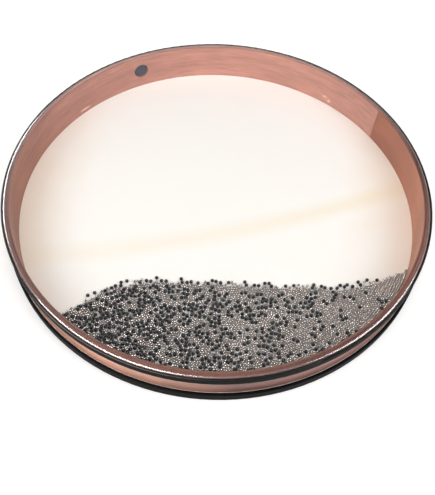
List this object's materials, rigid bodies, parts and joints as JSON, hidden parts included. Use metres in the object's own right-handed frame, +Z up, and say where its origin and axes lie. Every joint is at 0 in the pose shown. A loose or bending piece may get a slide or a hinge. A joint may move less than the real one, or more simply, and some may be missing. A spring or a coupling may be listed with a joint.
{
  "type": "ocean drum",
  "caption": "Low round hand drum with a laminated wooden hoop, a clear film head above, a hide head below and loose beads inside that roll over the hide with a sound of surf.",
  "frame": {"origin": "on the drum's axis, in the plane that it rests on", "axes": "+Z up through the clear head, -Y towards the front, where the beads lie at rest"},
  "size_m": [0.4064, 0.4064, 0.04],
  "materials": {
    "inner_face_wood": "satin",
    "core_wood": "satin",
    "outer_face_wood": "gloss",
    "clear_film": "clear gloss",
    "hide": "matt",
    "black_band": "satin",
    "stopper_rubber": "satin",
    "bead_steel": "polished",
    "bead_black": "gloss"
  },
  "bodies": {
    "hoop": {"inner_veneer": "inner_face_wood", "inner_core_ply": "core_wood", "middle_core_ply": "core_wood", "outer_core_ply": "core_wood", "outer_veneer": "outer_face_wood", "clear_head": "clear_film", "skin_head": "hide", "upper_band": "black_band", "lower_band": "black_band"},
    "rim_beads": {"rim_steel_beads": "bead_steel"},
    "bead_pool": {"steel_bead_bed": "bead_steel", "pool_black_beads": "bead_black"},
    "crest_left": {"crest_black_beads_left": "bead_black", "crest_steel_beads_left": "bead_steel"},
    "crest_middle": {"crest_black_beads_middle": "bead_black", "crest_steel_beads_middle": "bead_steel"},
    "crest_right": {"crest_black_beads_right": "bead_black", "crest_steel_beads_right": "bead_steel"},
    "plug": {"fill_plug": "stopper_rubber"}
  },
  "joints": [
    {"name": "bead_swirl", "type": "hinge", "parent": "hoop", "child": "rim_beads", "pos_m": [0, 0, 0], "axis": [0, 0, 1], "continuous": true},
    {"name": "bead_wash", "type": "slide", "parent": "rim_beads", "child": "bead_pool", "axis": [0, 1, 0], "range_m": [0, 0.1]},
    {"name": "crest_left_run", "type": "slide", "parent": "bead_pool", "child": "crest_left", "axis": [0, 1, 0], "range_m": [0, 0.15]},
    {"name": "crest_middle_run", "type": "slide", "parent": "bead_pool", "child": "crest_middle", "axis": [0, 1, 0], "range_m": [0, 0.16]},
    {"name": "crest_right_run", "type": "slide", "parent": "bead_pool", "child": "crest_right", "axis": [0, 1, 0], "range_m": [0, 0.085]},
    {"name": "plug_pull", "type": "slide", "parent": "hoop", "child": "plug", "axis": [-0.4772, 0.8788, 0], "range_m": [0, 0.02]}
  ]
}
